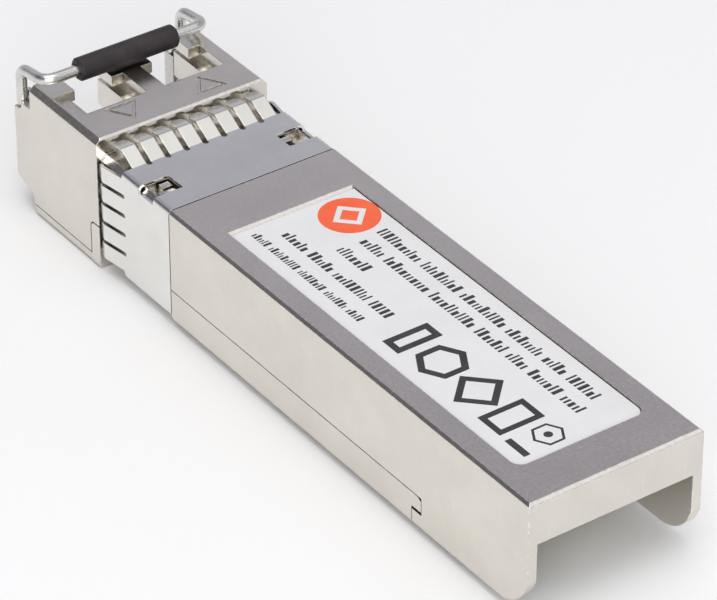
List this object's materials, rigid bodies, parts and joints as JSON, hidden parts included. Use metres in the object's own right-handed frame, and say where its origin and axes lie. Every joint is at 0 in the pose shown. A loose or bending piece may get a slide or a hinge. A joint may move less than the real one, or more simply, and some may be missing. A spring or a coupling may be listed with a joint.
{
  "type": "optical transceiver module",
  "caption": "Pluggable optical transceiver: cast metal body with two LC fibre ports, sprung shielding collar, edge connector, and a wire bail that works the cage latch.",
  "frame": {"origin": "centre line of the body's underside, in the stop plane where the nose's rear rim meets the cage", "axes": "+Y runs from the fibre ports to the edge connector, +Z points to the label side, +X is the width"},
  "size_m": [0.014, 0.0582, 0.0122],
  "materials": {
    "housing_nickel": "satin bright nickel plate over die-cast zinc",
    "collar_steel": "smooth rolled nickel-plated sheet",
    "wire_steel": "bright drawn stainless spring wire",
    "grip_black": "soft matt moulded sleeve",
    "lever_steel": "stamped stainless sheet",
    "moulding_black": "matt moulded plastic",
    "gasket_grey": "conductive foam",
    "board_green": "solder mask over glass epoxy",
    "contact_gold": "hard gold plate",
    "chip_black": "moulded epoxy package",
    "capacitor_tan": "ceramic body",
    "pad_grey": "soft silicone gap filler",
    "label_white": "matt printed film",
    "optic_steel": "turned stainless steel",
    "ceramic_white": "polished zirconia",
    "lens_glass": "clear polished glass",
    "can_metal": "gold-plated can",
    "flex_amber": "polyimide film"
  },
  "bodies": {
    "module": {"upper_housing": "housing_nickel", "lower_housing": "housing_nickel", "emi_collar": "collar_steel", "latch_pin": "lever_steel", "latch_spring": "lever_steel", "optic_clamp": "moulding_black", "emi_gasket": "gasket_grey", "circuit_board": "board_green", "top_contacts": "contact_gold", "bottom_contacts": "contact_gold", "driver_chip": "chip_black", "controller_chip": "chip_black", "capacitors": "capacitor_tan", "resistors": "chip_black", "heat_pad": "pad_grey", "label": "label_white", "transmit_barrel": "optic_steel", "transmit_sleeve": "ceramic_white", "transmit_lens": "lens_glass", "transmit_can": "can_metal", "transmit_header": "can_metal", "transmit_flex": "flex_amber", "receive_barrel": "optic_steel", "receive_sleeve": "ceramic_white", "receive_lens": "lens_glass", "receive_can": "can_metal", "receive_header": "can_metal", "receive_flex": "flex_amber"},
    "bail": {"bail_wire": "wire_steel", "bail_sleeve": "grip_black"},
    "latch": {"latch_lever": "lever_steel"}
  },
  "joints": [
    {"name": "bail_hinge", "type": "hinge", "parent": "module", "child": "bail", "pos_m": [0, -0.01, 0.0076], "axis": [1, 0, 0], "range_deg": [0, 90]},
    {"name": "latch_rock", "type": "hinge", "parent": "module", "child": "latch", "pos_m": [0, -0.0045, 0.00075], "axis": [1, 0, 0], "range_deg": [0, 4.5], "deforming": ["latch_spring"]}
  ],
  "couplings": [
    {"joint": "latch_rock", "follows": "bail_hinge", "ratio": 0.05}
  ]
}
